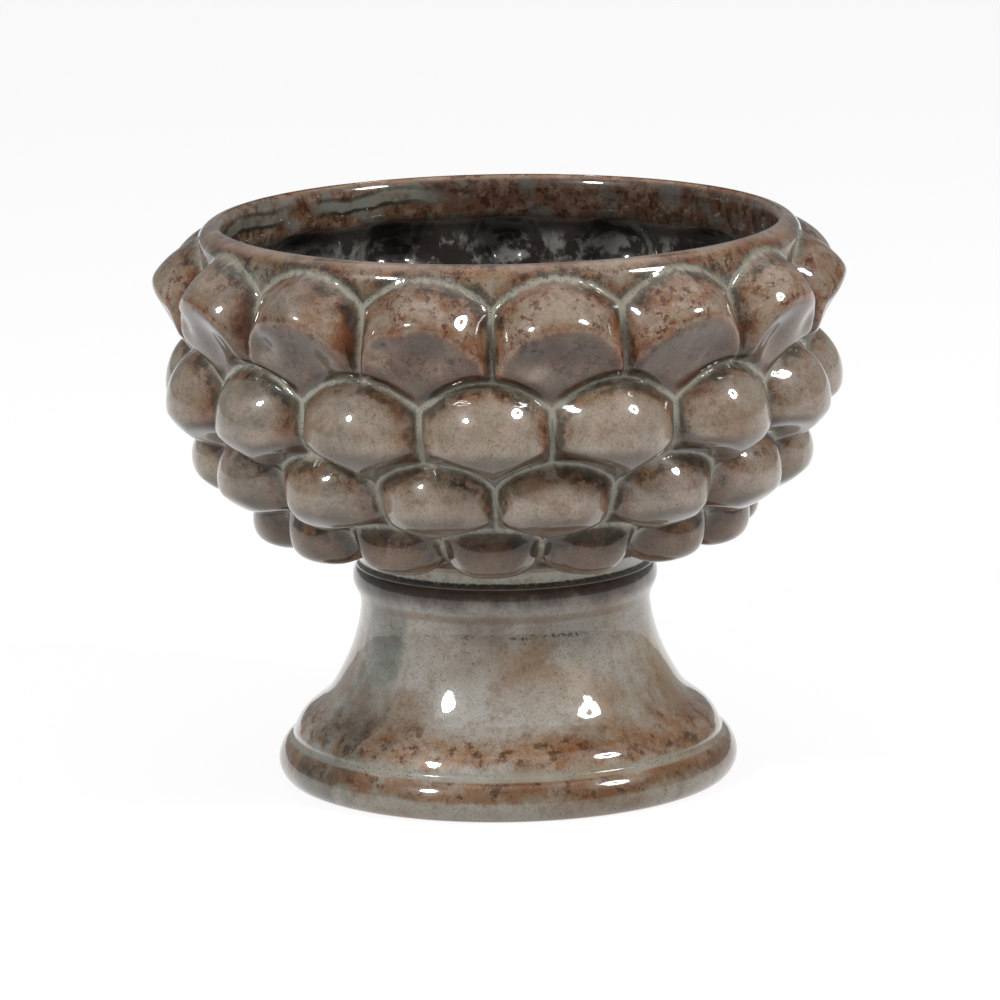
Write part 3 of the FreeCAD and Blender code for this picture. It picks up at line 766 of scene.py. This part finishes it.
# Rust where the flare meets the base mouldings, and under the groove.
band = g.both(g.fade(level, 0.0165, 0.0200), g.fade(level, 0.0330, 0.0235))
g.stain(RUST_WASH, g.both(band, g.fade(g.cloud(0.010, 4, 0.65, shift=3.0), 0.34, 0.58, 0.25, 1.0)))
g.stain(DARK_WASH, g.both(band, g.fade(g.cloud(0.0045, 4, 0.72, shift=4.0), 0.50, 0.62, 0, 0.95)))
under_groove = g.both(g.fade(level, 0.0060, 0.0100), g.fade(g.z, 0.0150, 0.0140))
g.stain(RUST_WASH, g.both(under_groove, g.fade(g.cloud(0.009, 4, 0.65, shift=6.0), 0.34, 0.56, 0.25, 1.0)))
g.stain(DARK_WASH, g.both(under_groove, g.fade(g.cloud(0.0045, 4, 0.72, shift=6.6), 0.52, 0.64, 0, 0.9)))
g.stain(MOULDING_WASH, g.fade(g.z, 0.0155, 0.0110))
# Painted shade under the joint, patchy on the roll's top, and a faint brown line below the roll.
g.stain(JOINT_SHADE, g.fade(level, 0.0690, 0.0775))
g.stain(ROLL_TOP_SHADE, g.both(g.fade(g.z, 0.0750, 0.0795), g.fade(g.cloud(0.01, 4, 0.7), 0.40, 0.60)))
g.stain(ROLL_LINE, g.both(g.fade(g.z, 0.0655, 0.0672), g.fade(g.z, 0.0700, 0.0682)))
# The flare darkens a little towards the top, and has broad brown clouds on the right.
g.stain(FLARE_WASH, g.fade(g.z, 0.0480, 0.0620))
right_side = g.fade(g.x, -0.004, 0.040)
g.stain(RIGHT_WASH, g.both(
    right_side, g.fade(g.cloud(0.022, 4, 0.6, shift=21.0), 0.38, 0.62, 0.1, 1.0),
))
g.grain()
# Thick pale green with pinholes in the groove, and a ragged line of pits under the roll.
groove = g.both(g.fade(g.z, 0.0142, 0.0149), g.fade(g.z, 0.0180, 0.0168))
g.lay(CELADON, g.both(groove, g.fade(g.cloud(0.03, 3, 0.6, shift=8.8), 0.40, 0.60, 0.10, 0.60)))
g.lay(PINHOLE, g.both(groove, g.dots(0.0011, 0.30), g.fade(g.cloud(0.02, 3, 0.6, shift=8.0), 0.46, 0.58)))
ragged = g.sum("ADD", g.z, g.waver(g.cloud(0.006, 4, 0.7, shift=9.5), 0.006))
pits = g.both(g.fade(ragged, 0.0606, 0.0612), g.fade(ragged, 0.0624, 0.0617))
g.stain(PIT_WASH, g.both(
    pits, g.fade(g.cloud(0.0012, 2, 0.6, shift=9.9), 0.50, 0.58),
    g.fade(g.cloud(0.02, 3, 0.6, shift=9.0), 0.44, 0.54),
))
# The foot ring, wiped bare.
g.lay(BODY_BROWN, g.fade(g.z, 0.0016, 0.0008))
g.finish()
stand.data.materials.append(stand_glaze.material)

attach(stand, "root")
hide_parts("stand")

# ---------------------------------------------------------------------------------------------------
# The slip joint: clay slip that was pressed between the castings and wiped to a hollow bead. Glaze
# lies thick in it, and crawled back to leave a broken dark line.
# ---------------------------------------------------------------------------------------------------

SLIP_OUTLINE = [
    (0.0552, 0.0862), (0.0546, 0.0850), (0.0541, 0.0838), (0.0537, 0.0827), (0.0534, 0.0817),
    (0.0534, 0.0809), (0.0541, 0.0801), (0.0548, 0.0792), (0.0530, 0.0790), (0.0500, 0.0800),
    (0.0460, 0.0790), (0.0454, 0.0790), (0.0454, 0.0819), (0.0500, 0.0819), (0.0520, 0.0845),
]
SHOWING_EDGES = 7
slip = place_piece("slip_bead", turned_ring(SLIP_OUTLINE, SHOWING_EDGES))

BEAD_SHADE = (0.34, 0.27, 0.22)

joint_glaze = Glaze("joint_glaze", CELADON)
g = joint_glaze
g.lay(WARM_TAUPE, g.fade(g.cloud(0.012, 4, 0.6), 0.45, 0.65, 0, 0.7))
g.grain()
line = g.sum("ADD", g.z, g.waver(g.cloud(0.004, 3, 0.7), 0.0022))
crawl = g.both(g.fade(line, 0.0798, 0.0802), g.fade(line, 0.0815, 0.0810))
# Painted shade on the lower part of the bead, below its crawl line.
g.stain(BEAD_SHADE, g.fade(g.z, 0.0815, 0.0806))
g.lay(PINHOLE, g.both(crawl, g.fade(g.cloud(0.0022, 3, 0.7, shift=2.0), 0.40, 0.50)))
g.finish()
slip.data.materials.append(joint_glaze.material)

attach(slip, "root")
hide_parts("slip_joint")

# ---------------------------------------------------------------------------------------------------
# The setting: a plain pale floor, soft studio light from the left and the right, and the camera.
# ---------------------------------------------------------------------------------------------------

floor_mesh = bmesh.new()
bmesh.ops.create_grid(floor_mesh, x_segments=8, y_segments=8, size=6)
floor = place_piece("floor", floor_mesh)
floor_paint = bpy.data.materials.new("floor_paint")
floor_paint.use_nodes = True
paint = floor_paint.node_tree.nodes["Principled BSDF"]
paint.inputs["Base Color"].default_value = (0.14, 0.14, 0.14, 1)
paint.inputs["Roughness"].default_value = 0.9
paint.inputs["Emission Color"].default_value = (1, 1, 1, 1)
paint.inputs["Emission Strength"].default_value = 0.86
floor.data.materials.append(floor_paint)

world = bpy.data.worlds.new("studio")
world.use_nodes = True
world.node_tree.nodes["Background"].inputs["Color"].default_value = (1, 1, 1, 1)
world.node_tree.nodes["Background"].inputs["Strength"].default_value = 0.26
bpy.context.scene.world = world


LIGHTS_AIM = Vector((0, 0, 0.1))
RIGHT_PLACE = Vector((1.0475, -0.5108, 1.040))


def add_softbox(name, place, size, power):
    """A round soft light that faces the pot."""
    data = bpy.data.lights.new(name, "AREA")
    data.shape = "DISK"
    data.size, data.energy = size, power
    lamp = bpy.data.objects.new(name, data)
    lamp.location = place
    lamp.rotation_euler = (LIGHTS_AIM - Vector(place)).to_track_quat("-Z", "Y").to_euler()
    bpy.context.scene.collection.objects.link(lamp)


add_softbox("left_light", (-0.870, -0.855, 0.965), size=0.20, power=13)
add_softbox("right_light", RIGHT_PLACE, size=0.37, power=15)
add_softbox("top_light", (0.0, 0.2, 2.6), size=4.0, power=26)

# The right lamp has a small plate before its bulb, which shows as a dark middle in its reflections.
PLATE_RADIUS, PLATE_DISTANCE = 0.062, 1.44
plate_mesh = bmesh.new()
bmesh.ops.create_circle(plate_mesh, cap_ends=True, segments=48, radius=PLATE_RADIUS)
towards = (RIGHT_PLACE - LIGHTS_AIM).normalized()
turn = towards.to_track_quat("Z", "Y").to_matrix().to_4x4()
bmesh.ops.transform(
    plate_mesh, matrix=Matrix.Translation(LIGHTS_AIM + PLATE_DISTANCE * towards) @ turn,
    verts=plate_mesh.verts,
)
plate = place_piece("lamp_plate", plate_mesh)
plate_paint = bpy.data.materials.new("plate_paint")
plate_paint.use_nodes = True
plate_paint.node_tree.nodes["Principled BSDF"].inputs["Base Color"].default_value = (0.30, 0.22, 0.15, 1)
plate.data.materials.append(plate_paint)

CAMERA_DISTANCE = 2.3836
CAMERA_PITCH = math.radians(11.63)
CAMERA_ROLL = math.radians(1.0)
CAMERA_AIM = Vector((0, 0, 0.1012))
camera_data = bpy.data.cameras.new("camera")
camera_data.sensor_width = 36
camera_data.lens = 234
camera_data.shift_x = -0.0039
camera = bpy.data.objects.new("camera", camera_data)
camera.location = CAMERA_AIM + CAMERA_DISTANCE * Vector((0, -math.cos(CAMERA_PITCH), math.sin(CAMERA_PITCH)))
facing = (CAMERA_AIM - camera.location).to_track_quat("-Z", "Y").to_matrix()
camera.rotation_euler = (facing @ Matrix.Rotation(-CAMERA_ROLL, 3, "Z")).to_euler()
bpy.context.scene.collection.objects.link(camera)
bpy.context.scene.camera = camera
bpy.context.scene.view_settings.view_transform = "Standard"
